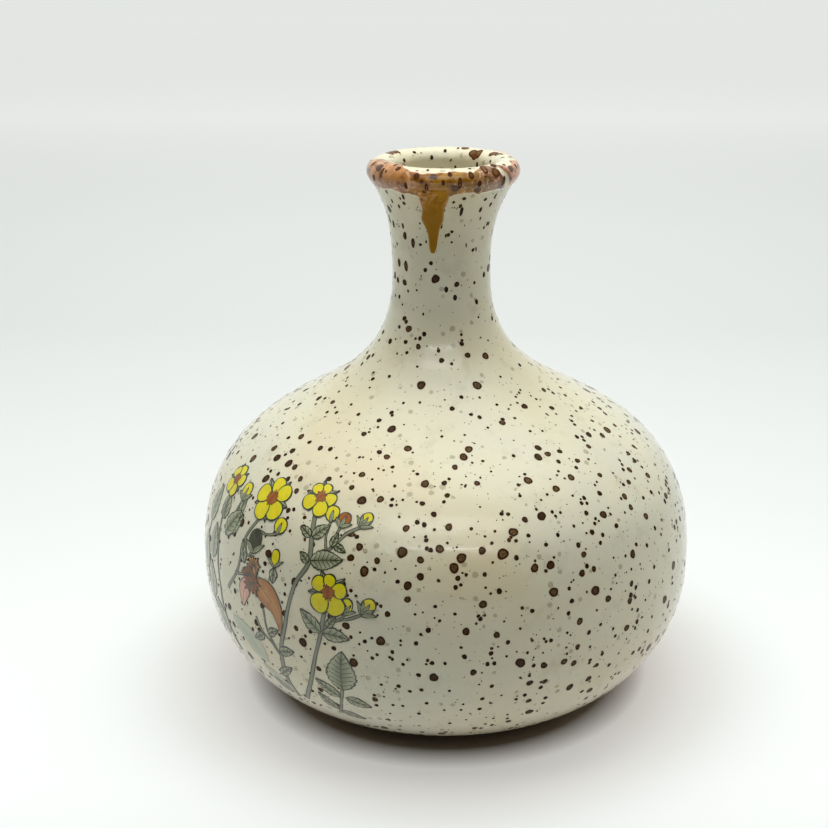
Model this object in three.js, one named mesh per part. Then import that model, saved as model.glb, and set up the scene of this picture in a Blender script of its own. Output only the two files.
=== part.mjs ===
// A round-bellied ceramic bud vase, in millimetres, +Z up.
// The origin is at the middle of the underside of the foot, and -Y is the side with the flowers.
//
// The vase is one turned shape: an outside outline and an inside outline, spun about Z. The wall
// between them is built as the rings of clay that a potter throws and turns, from the foot up to the
// rolled lip. Thin coats lie on the clay: the outside glaze, the liner glaze, the honey glaze on the
// lip with its run, and the printed flower transfer. Neighbours meet face to face on shared rings.

import * as THREE from 'three';

// Driving dimensions.
const HEIGHT = 130;
const BELLY_RADIUS = 60;
const WAIST_RADIUS = 11.5;
const LIP_RADIUS = 17.5;
const FOOT_RADIUS = 35.5;
const WALL = 4;
const GLAZE = 0.45;

// Heights up the outline.
const FOOT_HEIGHT = 2.6;
const FLOOR_TOP = 7.5;
const BELLY_HEIGHT = 34.4;
const WAIST_HEIGHT = 103;

// The foot is a ring with a shallow turned recess inside it.
const FOOT_WIDTH = 5;
const FOOT_BEVEL = 0.6;

// The lip is a roll of oval section.
const LIP_HALF_WIDTH = 3.1;
const LIP_HALF_HEIGHT = 2.8;
const LIP_START = THREE.MathUtils.degToRad(-30);
const LIP_END = Math.PI;
const LIP_CREST = Math.PI / 2;

// How far each end of the shoulder and neck curves keeps its direction.
const SHOULDER_PULL = 45;
const WAIST_PULL = 37.8;
const INNER_SHOULDER_PULL = 41.5;
const INNER_WAIST_PULL = 38.5;
const NECK_PULL = 11;
const LIP_PULL = 8;
const INNER_NECK_PULL = 11;
const INNER_LIP_PULL = 6;

// Facets: around the vase, and up each curve of the outline.
const ROUND_FACETS = 32;
const BOWL_STEPS = 4;
const SHOULDER_STEPS = 12;
const NECK_STEPS = 4;
const LIP_STEPS = 4;

// The printed films and the run lie this far above the glaze, so that no two solids touch.
const FILM_GAP = 0.25;
const FILM_THICKNESS = 0.12;
const RUN_THICKNESS = 0.3;

const COLOURS = {
  clay: 0x9a8069,
  cream: 0xe9e3d2,
  honey: 0x9a5a22,
  yellow: 0xd8cf1c,
  orange: 0xb8642a,
  green: 0x6f7a5c,
};

// ---------------------------------------------------------------------------------------------
// Outlines: x is the radius and y is the height. Every curve runs upwards.

const vec = (x, y) => new THREE.Vector2(x, y);

const lipCentre = vec(LIP_RADIUS - LIP_HALF_WIDTH, HEIGHT - LIP_HALF_HEIGHT);

function lipCurve(start, clockwise) {
  return new THREE.EllipseCurve(
    lipCentre.x, lipCentre.y, LIP_HALF_WIDTH, LIP_HALF_HEIGHT, start, LIP_CREST, clockwise,
  );
}

function arcToBelly(radius, bellyRadius, lowest) {
  const centre = bellyRadius - radius;
  const start = -Math.asin((BELLY_HEIGHT - lowest) / radius);
  return new THREE.EllipseCurve(centre, BELLY_HEIGHT, radius, radius, start, 0, false);
}

function shoulderCurve(bellyRadius, waistRadius, lowPull, highPull) {
  return new THREE.CubicBezierCurve(
    vec(bellyRadius, BELLY_HEIGHT),
    vec(bellyRadius, BELLY_HEIGHT + lowPull),
    vec(waistRadius, WAIST_HEIGHT - highPull),
    vec(waistRadius, WAIST_HEIGHT),
  );
}

function neckCurve(waistRadius, lip, neckPull, lipPull) {
  const end = lip.getPoint(0);
  const pull = lip.getTangent(0).multiplyScalar(lipPull);
  return new THREE.CubicBezierCurve(
    vec(waistRadius, WAIST_HEIGHT),
    vec(waistRadius, WAIST_HEIGHT + neckPull),
    end.clone().sub(pull),
    end,
  );
}

const OUTER_BOWL_RADIUS = 34.8;
const outerLip = lipCurve(LIP_START, false);
const innerLip = lipCurve(LIP_END, true);
const innerBelly = BELLY_RADIUS - WALL;
const innerWaist = WAIST_RADIUS - WALL;

const outside = {
  bowl: arcToBelly(OUTER_BOWL_RADIUS, BELLY_RADIUS, FOOT_HEIGHT),
  shoulder: shoulderCurve(BELLY_RADIUS, WAIST_RADIUS, SHOULDER_PULL, WAIST_PULL),
  neck: neckCurve(WAIST_RADIUS, outerLip, NECK_PULL, LIP_PULL),
  lip: outerLip,
};

const inside = {
  bowl: arcToBelly(BELLY_HEIGHT - FLOOR_TOP, innerBelly, FLOOR_TOP),
  shoulder: shoulderCurve(innerBelly, innerWaist, INNER_SHOULDER_PULL, INNER_WAIST_PULL),
  neck: neckCurve(innerWaist, innerLip, INNER_NECK_PULL, INNER_LIP_PULL),
  lip: innerLip,
};

// A span is a stretch of one curve of the outline, cut into steps.
const BOWL_MIDDLE = 0.5;
const BELLY_TOP = 0.25;
const SHOULDER_TOP = 0.5;
const lowerBowl = [{ curve: 'bowl', from: 0, to: BOWL_MIDDLE, steps: BOWL_STEPS / 2 }];
const lowerBelly = [{ curve: 'bowl', from: BOWL_MIDDLE, to: 1, steps: BOWL_STEPS / 2 }];
const upperBelly = [{ curve: 'shoulder', from: 0, to: BELLY_TOP, steps: SHOULDER_STEPS / 4 }];
const shoulder = [{ curve: 'shoulder', from: BELLY_TOP, to: SHOULDER_TOP, steps: SHOULDER_STEPS / 4 }];
const neckRoot = [{ curve: 'shoulder', from: SHOULDER_TOP, to: 1, steps: SHOULDER_STEPS / 2 }];
const neckTube = [{ curve: 'neck', from: 0, to: 1, steps: NECK_STEPS }];
const lipRoll = [{ curve: 'lip', from: 0, to: 1, steps: LIP_STEPS }];

// Points are snapped to this many places to the millimetre, so that the rings that neighbours
// share are the same on both.
const SNAPS = 500;

// The point of a curve at t, moved into the clay by depth. The clay is on the left of an outside
// curve and on the right of an inside one.
function pointAt(outline, name, t, depth) {
  const curve = outline[name];
  const tangent = curve.getTangent(t);
  const side = outline === outside ? 1 : -1;
  const point = curve.getPoint(t).add(vec(-tangent.y, tangent.x).multiplyScalar(side * depth));
  return point.multiplyScalar(SNAPS).round().divideScalar(SNAPS);
}

function pointsAlong(outline, spans, depth) {
  const points = [];
  for (const { curve, from, to, steps } of spans) {
    const first = points.length === 0 ? 0 : 1;
    for (let i = first; i <= steps; i += 1) {
      points.push(pointAt(outline, curve, from + ((to - from) * i) / steps, depth));
    }
  }
  return points;
}

// ---------------------------------------------------------------------------------------------
// Solids.

const materials = Object.fromEntries(
  Object.entries(COLOURS).map(([name, color]) => [
    name,
    new THREE.MeshStandardMaterial({ color, roughness: name === 'clay' ? 0.9 : 0.25, metalness: 0 }),
  ]),
);

const vase = new THREE.Group();

function addPiece(name, geometry, material) {
  const mesh = new THREE.Mesh(geometry, material);
  mesh.name = name;
  vase.add(mesh);
}

// Spins a closed outline, listed anticlockwise, about Z.
function spin(points) {
  const geometry = new THREE.LatheGeometry(points, ROUND_FACETS);
  geometry.rotateX(Math.PI / 2);
  return geometry;
}

function spinClosed(points) {
  return spin([...points, points[0].clone()]);
}

// A ring of wall between the clay's outside and inside.
function clayRing(spans, extra = []) {
  const outer = pointsAlong(outside, spans, GLAZE);
  const inner = pointsAlong(inside, spans, GLAZE);
  return spinClosed([...extra, ...outer, ...inner.reverse()]);
}

function addClay() {
  const innerFoot = FOOT_RADIUS - FOOT_WIDTH;
  const footRing = [
    vec(innerFoot + FOOT_BEVEL, 0),
    vec(FOOT_RADIUS - FOOT_BEVEL, 0),
    vec(FOOT_RADIUS, FOOT_BEVEL),
    vec(FOOT_RADIUS, FOOT_HEIGHT),
    vec(innerFoot, FOOT_HEIGHT),
    vec(innerFoot, FOOT_BEVEL),
  ];
  addPiece('foot_ring', spinClosed(footRing), materials.clay);

  const floorEdge = pointAt(inside, 'bowl', 0, GLAZE);
  const floorDisc = [
    vec(0, FOOT_HEIGHT),
    vec(floorEdge.x, FOOT_HEIGHT),
    floorEdge,
    vec(0, floorEdge.y),
  ];
  addPiece('floor_disc', spin(floorDisc), materials.clay);

  addPiece('lower_bowl', clayRing(lowerBowl, [vec(floorEdge.x, FOOT_HEIGHT)]), materials.clay);
  addPiece('belly_lower_wall', clayRing(lowerBelly), materials.clay);
  addPiece('belly_upper_wall', clayRing(upperBelly), materials.clay);
  addPiece('shoulder', clayRing(shoulder), materials.clay);
  addPiece('neck_root', clayRing(neckRoot), materials.clay);
  addPiece('neck_tube', clayRing(neckTube), materials.clay);

  const lipOuter = pointsAlong(outside, lipRoll, GLAZE);
  const lipInner = pointsAlong(inside, lipRoll, GLAZE);
  lipInner.pop();
  addPiece('lip_roll', spinClosed([...lipOuter, ...lipInner.reverse()]), materials.clay);
}

// A coat covers one side of the clay along the spans.
function coatPoints(outline, spans) {
  const surface = pointsAlong(outline, spans, 0);
  const underside = pointsAlong(outline, spans, GLAZE);
  return { surface, underside };
}

function addGlaze() {
  const wallSpans = [lowerBowl, lowerBelly, upperBelly, shoulder, neckRoot, neckTube].flat();

  const outer = coatPoints(outside, wallSpans);
  addPiece('outer_glaze', spinClosed([...outer.surface, ...outer.underside.reverse()]), materials.cream);

  const liner = coatPoints(inside, wallSpans);
  const floorClay = liner.underside[0].y;
  const linerPoints = [
    vec(0, floorClay),
    ...liner.underside,
    ...liner.surface.reverse(),
    vec(0, FLOOR_TOP),
  ];
  addPiece('liner_glaze', spin(linerPoints), materials.cream);

  const lipOut = coatPoints(outside, lipRoll);
  const lipIn = coatPoints(inside, lipRoll);
  lipIn.surface.pop();
  lipIn.underside.pop();
  const rimPoints = [
    ...lipOut.surface,
    ...lipIn.surface.reverse(),
    ...lipIn.underside,
    ...lipOut.underside.reverse(),
  ];
  addPiece('rim_glaze', spinClosed(rimPoints), materials.honey);
}

// ---------------------------------------------------------------------------------------------
// Films that lie on the outside glaze.

// Finds where the outside reaches a height, by halving.
const HALVINGS = 24;

function outsideAt(height) {
  const name = ['bowl', 'shoulder', 'neck'].find((key) => outside[key].getPoint(1).y >= height);
  let low = 0;
  let high = 1;
  for (let i = 0; i < HALVINGS; i += 1) {
    const middle = (low + high) / 2;
    if (outside[name].getPoint(middle).y < height) {
      low = middle;
    } else {
      high = middle;
    }
  }
  return { name, t: low, radius: outside[name].getPoint(low).x, climb: outside[name].getTangent(low).y };
}

// Moves every vertex of a flat solid to the place on the vase that locate gives for its x and y:
// an azimuth in radians, which is 0 at the front and grows to the right, and a height. The
// vertex's z is its height above the gap that the film keeps.
function layOnVase(geometry, locate) {
  const position = geometry.attributes.position;
  for (let i = 0; i < position.count; i += 1) {
    const { azimuth, height } = locate(position.getX(i), position.getY(i));
    const { name, t } = outsideAt(height);
    const lifted = pointAt(outside, name, t, -FILM_GAP - position.getZ(i));
    position.setXYZ(i, lifted.x * Math.sin(azimuth), -lifted.x * Math.cos(azimuth), lifted.y);
  }
  return geometry;
}

// A thin disc of rings with a lobed edge, so that it bends to the wall. Five lobes make a flower,
// two make a pointed leaf, and none make a bud.
const FILM_RING = 0.5;

function discFilm({ width, height, lobes, depth, facets, azimuth, at }) {
  const profile = [
    vec(0, 0),
    vec(FILM_RING, 0),
    vec(1, 0),
    vec(1, FILM_THICKNESS),
    vec(FILM_RING, FILM_THICKNESS),
    vec(0, FILM_THICKNESS),
  ];
  const geometry = new THREE.LatheGeometry(profile, facets);
  geometry.rotateX(Math.PI / 2);
  const { radius, climb } = outsideAt(at);
  return layOnVase(geometry, (x, y) => {
    const reach = 1 - depth + depth * Math.cos(lobes * Math.atan2(x, y));
    return {
      azimuth: THREE.MathUtils.degToRad(azimuth) + (x * reach * width) / 2 / radius,
      height: at + (y * reach * height * climb) / 2,
    };
  });
}

// A ribbon of even width along a smooth line of [azimuth in degrees, height] places.
const STEM_WIDTH = 0.9;
const STEM_STEP = 3;

function stemFilm(places) {
  const line = new THREE.SplineCurve(places.map(([azimuth, height]) => vec(azimuth, height)));
  const [, bottom] = places[0];
  const [, top] = places[places.length - 1];
  const steps = Math.ceil((top - bottom) / STEM_STEP);
  const geometry = new THREE.BoxGeometry(STEM_WIDTH, 1, FILM_THICKNESS, 1, steps, 1);
  geometry.translate(0, 0.5, FILM_THICKNESS / 2);
  return layOnVase(geometry, (x, y) => {
    const place = line.getPoint(y);
    const { radius } = outsideAt(place.y);
    return { azimuth: THREE.MathUtils.degToRad(place.x) + x / radius, height: place.y };
  });
}

// The honey glaze ran down the front of the neck in one tapering tongue.
const RUN = { azimuth: -11, top: 124.4, bottom: 110, topWidth: 7, bottomWidth: 1.4 };
const RUN_COLUMNS = 6;
const RUN_ROWS = 6;

function runFilm() {
  const geometry = new THREE.BoxGeometry(1, 1, RUN_THICKNESS, RUN_COLUMNS, RUN_ROWS, 1);
  geometry.translate(0, 0.5, RUN_THICKNESS / 2);
  return layOnVase(geometry, (x, y) => {
    const height = THREE.MathUtils.lerp(RUN.bottom, RUN.top, y);
    const width = THREE.MathUtils.lerp(RUN.bottomWidth, RUN.topWidth, y * y);
    const { radius } = outsideAt(height);
    return { azimuth: THREE.MathUtils.degToRad(RUN.azimuth) + (x * width) / radius, height };
  });
}

const flower = { width: 10, height: 10, lobes: 5, depth: 0.14, facets: 20 };
const bud = { width: 3.4, height: 4.2, lobes: 1, depth: 0, facets: 8 };
const leaf = { width: 9, height: 10, lobes: 2, depth: 0.2, facets: 12 };

const FLOWERS = [
  { ...flower, azimuth: -65, at: 58.5 },
  { ...flower, azimuth: -49.5, at: 59.5 },
  { ...flower, azimuth: -34, at: 62.5 },
  { ...flower, azimuth: -25.5, at: 47 },
];

const BUDS = [
  { ...bud, azimuth: -41.8, at: 55 },
  { ...bud, azimuth: -27, at: 60 },
  { ...bud, azimuth: -20, at: 60.5 },
  { ...bud, azimuth: -17, at: 44 },
  { ...bud, azimuth: -49, at: 48 },
];

const LEAVES = [
  { ...leaf, azimuth: -22.5, at: 26.5 },
  { ...leaf, azimuth: -18.5, at: 16.5 },
  { ...leaf, azimuth: -60, at: 29 },
];

const STEMS = [
  [[-40, 15], [-37.5, 28], [-34.5, 42], [-31.5, 50], [-33, 56]],
  [[-32, 14], [-28.5, 26], [-26, 40]],
  [[-54, 22], [-56, 34], [-60, 44], [-64, 52]],
];

function addFilms() {
  addPiece('glaze_run', runFilm(), materials.honey);
  FLOWERS.forEach((place, i) => addPiece(`flower_print_${i + 1}`, discFilm(place), materials.yellow));
  BUDS.forEach((place, i) => addPiece(`bud_print_${i + 1}`, discFilm(place), materials.orange));
  LEAVES.forEach((place, i) => addPiece(`leaf_print_${i + 1}`, discFilm(place), materials.green));
  STEMS.forEach((places, i) => addPiece(`stem_print_${i + 1}`, stemFilm(places), materials.green));
}

addClay();
addGlaze();
addFilms();

export default vase;
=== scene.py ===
"""Looks for a round-bellied ceramic bud vase: speckled cream glaze, honey lip and a flower transfer.

Everything is in metres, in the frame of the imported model: +Z up, the origin under the middle of the
foot, and the viewer on the -Y side. Azimuth is 0 at the front and grows to the right. Every piece is
made from the vase's outlines, bent by the same small throwing marks, so the pieces fit each other.
"""

import math
import random

import bmesh
import bpy
import numpy as np
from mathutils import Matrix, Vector


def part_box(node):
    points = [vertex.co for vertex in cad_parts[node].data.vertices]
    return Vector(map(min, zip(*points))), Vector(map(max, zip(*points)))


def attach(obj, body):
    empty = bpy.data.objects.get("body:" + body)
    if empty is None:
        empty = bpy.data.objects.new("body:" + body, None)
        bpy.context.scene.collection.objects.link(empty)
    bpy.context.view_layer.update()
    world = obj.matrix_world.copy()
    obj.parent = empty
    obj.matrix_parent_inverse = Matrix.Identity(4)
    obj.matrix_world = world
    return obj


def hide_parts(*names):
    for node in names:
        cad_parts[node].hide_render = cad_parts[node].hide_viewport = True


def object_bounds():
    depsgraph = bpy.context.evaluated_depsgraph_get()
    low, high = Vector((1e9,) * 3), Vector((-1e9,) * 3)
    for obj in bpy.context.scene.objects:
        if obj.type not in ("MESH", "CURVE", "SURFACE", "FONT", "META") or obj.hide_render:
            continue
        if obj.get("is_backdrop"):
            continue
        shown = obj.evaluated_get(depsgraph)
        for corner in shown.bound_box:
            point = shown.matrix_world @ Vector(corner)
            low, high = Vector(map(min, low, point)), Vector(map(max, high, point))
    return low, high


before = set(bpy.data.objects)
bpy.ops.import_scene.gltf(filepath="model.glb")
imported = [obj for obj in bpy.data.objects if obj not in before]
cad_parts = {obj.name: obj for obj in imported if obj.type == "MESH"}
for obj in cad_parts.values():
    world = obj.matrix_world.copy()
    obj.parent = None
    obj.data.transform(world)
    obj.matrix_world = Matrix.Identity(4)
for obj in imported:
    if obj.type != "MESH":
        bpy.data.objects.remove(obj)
cad_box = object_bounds()

MM = 0.001
TAU = 2 * math.pi
ROOT = "root"

# ------------------------------------------------------------------------------------------------
# Sizes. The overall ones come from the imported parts; the rest repeat the CAD part's outline.


def node_radius(node):
    low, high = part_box(node)
    return max(high[0], high[1], -low[0], -low[1])


VASE_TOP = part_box("rim_glaze")[1][2]
BELLY_RADIUS = node_radius("outer_glaze")
LIP_RADIUS = node_radius("rim_glaze")
FOOT_RADIUS = node_radius("foot_ring")
FOOT_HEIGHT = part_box("foot_ring")[1][2]
FLOOR_TOP = 7.5 * MM

FOOT_WIDTH = 5 * MM
FOOT_ROUNDING = 0.8 * MM
BELLY_HEIGHT = 34.4 * MM
BOWL_RADIUS = 34.8 * MM
WAIST_RADIUS = 11.5 * MM
WAIST_HEIGHT = 103 * MM
WALL = 4 * MM
GLAZE = 0.45 * MM
LIP_HALF_WIDTH = 3.1 * MM
LIP_HALF_HEIGHT = 2.8 * MM
LIP_START = math.radians(-30)
LIP_CREST = math.radians(90)
LIP_END = math.radians(180)

# How far each end of the shoulder and neck curves keeps its direction: (low end, high end).
OUTER_SHOULDER_PULLS = (45 * MM, 37.8 * MM)
INNER_SHOULDER_PULLS = (41.5 * MM, 38.5 * MM)
OUTER_NECK_PULLS = (11 * MM, 8 * MM)
INNER_NECK_PULLS = (11 * MM, 6 * MM)

# How far the outside of the bowl swells past a plain arc. The power is below 1 to make it fullest
# low down.
FULLNESS = 1.05 * MM
FULLNESS_POWER = 0.6

# ------------------------------------------------------------------------------------------------
# The skin of the vase: one outline of (radius, height), and the surface that it sweeps.

CURVE_POINTS = 240


def arc(centre, radii, start, end):
    angles = np.linspace(start, end, CURVE_POINTS)
    return centre + np.stack([radii[0] * np.cos(angles), radii[1] * np.sin(angles)], axis=1)


def cubic(*corners):
    t = np.linspace(0, 1, CURVE_POINTS)[:, None]
    weights = [(1 - t) ** 3, 3 * t * (1 - t) ** 2, 3 * t * t * (1 - t), t ** 3]
    return sum(weight * np.array(corner) for weight, corner in zip(weights, corners))


def smooth(low, high, value):
    t = np.clip((value - low) / (high - low), 0, 1)
    return t * t * (3 - 2 * t)


def wall_curves(belly, waist, bowl_radius, lowest, lip_start, shoulder_pulls, neck_pulls, fullness):
    """The bowl, shoulder, neck and lip of one side of the wall, each running upwards."""
    bowl_start = -math.asin((BELLY_HEIGHT - lowest) / bowl_radius)
    bowl_centre = (belly - bowl_radius, BELLY_HEIGHT)
    bowl = arc(bowl_centre, (bowl_radius, bowl_radius), bowl_start, 0)
    swell = fullness * np.sin(math.pi * np.linspace(0, 1, CURVE_POINTS) ** FULLNESS_POWER)
    bowl += swell[:, None] * (bowl - bowl_centre) / bowl_radius
    low_pull, high_pull = shoulder_pulls
    shoulder = cubic(
        (belly, BELLY_HEIGHT),
        (belly, BELLY_HEIGHT + low_pull),
        (waist, WAIST_HEIGHT - high_pull),
        (waist, WAIST_HEIGHT),
    )
    lip_centre = (LIP_RADIUS - LIP_HALF_WIDTH, VASE_TOP - LIP_HALF_HEIGHT)
    lip = arc(lip_centre, (LIP_HALF_WIDTH, LIP_HALF_HEIGHT), lip_start, LIP_CREST)
    leaving = (lip[1] - lip[0]) / np.linalg.norm(lip[1] - lip[0])
    low_pull, high_pull = neck_pulls
    neck = cubic(
        (waist, WAIST_HEIGHT),
        (waist, WAIST_HEIGHT + low_pull),
        lip[0] - high_pull * leaving,
        lip[0],
    )
    return [bowl, shoulder, neck, lip]


class Skin:
    """The outline goes up the outside, over the lip and down the inside. A station counts the curves
    passed, so 1.5 is half-way up the outside of the shoulder. The clay is always on its left."""

    def __init__(self, outside, inside):
        curves = outside + [curve[::-1] for curve in inside[::-1]]
        self.last_station = len(curves)
        self.crest_station = len(outside)
        fractions = np.linspace(0, 1, CURVE_POINTS)[1:]
        self.points = np.concatenate([curves[0][:1]] + [curve[1:] for curve in curves])
        self.stations = np.concatenate([[0]] + [number + fractions for number in range(len(curves))])
        steps = np.linalg.norm(np.diff(self.points, axis=0), axis=1)
        self.distances = np.concatenate([[0], np.cumsum(steps)])
        tangents = np.gradient(self.points, self.distances, axis=0)
        tangents /= np.linalg.norm(tangents, axis=1)[:, None]
        self.normals = np.stack([tangents[:, 1], -tangents[:, 0]], axis=1)

    def normal(self, along):
        return [np.interp(along, self.distances, column) for column in self.normals.T]

    def at(self, along, lift=0.0):
        """(radius, height) at a distance along the outline, lifted off the glaze."""
        radius, height = [np.interp(along, self.distances, column) for column in self.points.T]
        out, up = self.normal(along)
        return radius + lift * out, height + lift * up

    def at_station(self, station):
        """The distance along the outline at a station."""
        return np.interp(station, self.stations, self.distances)

    def at_height(self, height):
        """The distance along the outside, below the lip, that is at a height."""
        outside = self.stations < self.crest_station - 1
        return np.interp(height, self.points[outside, 1], self.distances[outside])

    def stretch(self, start, end, spacing, lift=0.0):
        """Points between two stations, no further apart than spacing."""
        first, last = self.at_station(start), self.at_station(end)
        count = max(2, math.ceil(abs(last - first) / spacing) + 1)
        return np.stack(self.at(np.linspace(first, last, count), lift), axis=1)


SKIN = Skin(
    wall_curves(
        BELLY_RADIUS, WAIST_RADIUS, BOWL_RADIUS, FOOT_HEIGHT,
        LIP_START, OUTER_SHOULDER_PULLS, OUTER_NECK_PULLS, FULLNESS,
    ),
    wall_curves(
        BELLY_RADIUS - WALL, WAIST_RADIUS - WALL, BELLY_HEIGHT - FLOOR_TOP, FLOOR_TOP,
        LIP_END, INNER_SHOULDER_PULLS, INNER_NECK_PULLS, 0,
    ),
)
CREST = SKIN.at_station(SKIN.crest_station)

# The neck leans a little to the left, as thrown, and comes part of the way back at the lip.
NECK_LEAN = -1.1 * MM
NECK_LEANS = (58 * MM, 92 * MM)
LIP_RETURN = 0.5 * MM
LIP_RETURNS = (108 * MM, 128 * MM)

# The marks of the throwing fade in above the foot, and are weaker up the neck.
MARKS_START = (FOOT_HEIGHT, 22 * MM)
MARKS_WEAKEN = (60 * MM, 80 * MM)
WEAKENING = 0.6
OUT_OF_ROUND = 0.12 * MM
SPIRAL_DEPTH = 0.03 * MM
SPIRAL_PITCH = 9 * MM
DENT_DEPTH = 0.05 * MM


def lean(height):
    return NECK_LEAN * smooth(*NECK_LEANS, height) + LIP_RETURN * smooth(*LIP_RETURNS, height)


def throwing_marks(azimuth, height):
    """How far the potter's fingers pushed the wall out or in."""
    free = smooth(*MARKS_START, height) * (1 - WEAKENING * smooth(*MARKS_WEAKEN, height))
    out_of_round = OUT_OF_ROUND * np.sin(2 * azimuth + 0.9) * np.cos(height / (31 * MM))
    spiral = SPIRAL_DEPTH * np.sin(TAU * height / SPIRAL_PITCH + azimuth)
    dents = np.sin(5 * azimuth + height / (11 * MM)) * np.sin(height / (7 * MM) - 2 * azimuth)
    return free * (out_of_round + spiral + DENT_DEPTH * dents)


def bend(radius, height, azimuth):
    """Turns (radius, height) at an azimuth into a point, with the marks of the making."""
    radius, height, azimuth = np.broadcast_arrays(radius, height, azimuth)
    radius = radius + np.where(radius > 0, throwing_marks(azimuth, height), 0)
    across = radius * np.sin(azimuth) + lean(height)
    return np.stack([across, -radius * np.cos(azimuth), height], axis=-1)


def on_skin(azimuth, along, lift=0.0):
    radius, height = SKIN.at(along, lift)
    return bend(radius, height, azimuth)


def skin_normal(azimuth, along):
    out, up = SKIN.normal(along)
    return np.stack([out * np.sin(azimuth), -out * np.cos(azimuth), up], axis=-1)


# ------------------------------------------------------------------------------------------------
# Node helpers.


def srgb(red, green, blue):
    """A colour given as it looks on a screen, from 0 to 255, as linear light."""
    def linear(value):
        value /= 255
        return value / 12.92 if value <= 0.04045 else ((value + 0.055) / 1.055) ** 2.4
    return (linear(red), linear(green), linear(blue), 1.0)


class Nodes:
    """A short way to write the node tree of a material, or of a world."""

    def __init__(self, owner, place="Object"):
        owner.use_nodes = True
        self.owner = owner
        self.tree = owner.node_tree
        self.shader = self.tree.nodes.get("Principled BSDF") or self.tree.nodes["Background"]
        self.place = self.tree.nodes.new("ShaderNodeTexCoord").outputs[place]

    def node(self, kind, **inputs):
        made = self.tree.nodes.new(kind)
        for name, value in inputs.items():
            self.feed(made.inputs[name.replace("_", " ")], value)
        return made

    def feed(self, socket, value):
        if isinstance(value, bpy.types.NodeSocket):
            self.tree.links.new(value, socket)
        else:
            socket.default_value = value

    def noise(self, scale, detail=3.0, roughness=0.5, distortion=0.0):
        made = self.node(
            "ShaderNodeTexNoise", Vector=self.place, Scale=scale, Detail=detail,
            Roughness=roughness, Distortion=distortion,
        )
        return made.outputs["Fac"]

    def cells(self, scale, shift=(0.0, 0.0, 0.0)):
        """Distance to the nearest of many scattered points, and a random number for each."""
        moved = self.node("ShaderNodeVectorMath", Vector=self.place)
        moved.inputs[1].default_value = shift
        made = self.node("ShaderNodeTexVoronoi", Vector=moved.outputs["Vector"], Scale=scale)
        chance = self.node("ShaderNodeSeparateColor", Color=made.outputs["Color"])
        return made.outputs["Distance"], chance.outputs["Red"]

    def blots(self, cells, sparse, growth, ragged):
        """How deep each point lies in ragged blots of many sizes. Their edges are near 0.5."""
        near, chance = cells
        reach = self.math("MULTIPLY", self.math("SUBTRACT", chance, sparse), growth)
        return self.math("SUBTRACT", self.math("ADD", reach, 0.5), self.math("ADD", near, ragged))

    def ramp(self, value, *stops):
        made = self.node("ShaderNodeValToRGB", Fac=value)
        ramp = made.color_ramp
        while len(ramp.elements) < len(stops):
            ramp.elements.new(1.0)
        for element, (position, colour) in zip(ramp.elements, stops):
            element.position = position
            element.color = colour if isinstance(colour, tuple) else (colour, colour, colour, 1)
        return made.outputs["Color"]

    def mix(self, amount, first, second, blend="MIX"):
        made = self.tree.nodes.new("ShaderNodeMix")
        made.data_type = "RGBA"
        made.blend_type = blend
        self.feed(made.inputs[0], amount)
        self.feed(made.inputs[6], first)
        self.feed(made.inputs[7], second)
        return made.outputs[2]

    def math(self, operation, first, second):
        made = self.tree.nodes.new("ShaderNodeMath")
        made.operation = operation
        self.feed(made.inputs[0], first)
        self.feed(made.inputs[1], second)
        return made.outputs[0]

    def times(self, value, amount):
        return self.math("MULTIPLY", value, amount)

    def attribute(self, name):
        made = self.tree.nodes.new("ShaderNodeAttribute")
        made.attribute_name = name
        return made.outputs["Fac"]

    def bump(self, height, strength, distance):
        made = self.node("ShaderNodeBump", Height=height, Strength=strength, Distance=distance)
        self.feed(self.shader.inputs["Normal"], made.outputs["Normal"])

    def surface(self, colour, roughness, **plain):
        self.feed(self.shader.inputs["Base Color"], colour)
        self.feed(self.shader.inputs["Roughness"], roughness)
        for name, value in plain.items():
            self.shader.inputs[name.replace("_", " ")].default_value = value
        return self.owner


def material_nodes(name):
    return Nodes(bpy.data.materials.new(name))


# ------------------------------------------------------------------------------------------------
# Materials.

CREAM = srgb(207, 201, 174)
CREAM_WARM = srgb(206, 194, 162)
CREAM_COOL = srgb(202, 199, 178)
GHOST = srgb(154, 144, 114)
COAT = {"Coat_Weight": 0.2, "Coat_Roughness": 0.03, "Coat_IOR": 1.5}
DEEP_SHINE = {"Specular_IOR_Level": 0.07, "Coat_Weight": 0.03, "Coat_Roughness": 0.03}


def cream_colour(nodes):
    """Cream that drifts warmer and cooler, with faint spots that lie deep in the glaze."""
    drift = nodes.ramp(nodes.noise(28, 4), (0.38, CREAM_COOL), (0.52, CREAM), (0.68, CREAM_WARM))
    ragged = nodes.times(nodes.noise(1900, 3, 0.7), 0.3)
    inside = nodes.blots(nodes.cells(430, (0.31, 0.17, 0.05)), 0.22, 0.62, ragged)
    ghosts = nodes.mix(nodes.ramp(inside, (0.47, 0.0), (0.56, 0.72)), drift, GHOST)
    cloud = nodes.ramp(nodes.noise(120, 4, 0.65), (0.56, 0.0), (0.76, 0.3))
    return nodes.mix(cloud, ghosts, GHOST)


def cream_glaze():
    nodes = material_nodes("cream_glaze")
    nodes.bump(nodes.noise(150, 3), 0.65, 0.0004)
    roughness = nodes.ramp(nodes.noise(60, 3), (0.3, 0.12), (0.7, 0.2))
    return nodes.surface(cream_colour(nodes), roughness, **COAT)


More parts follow.
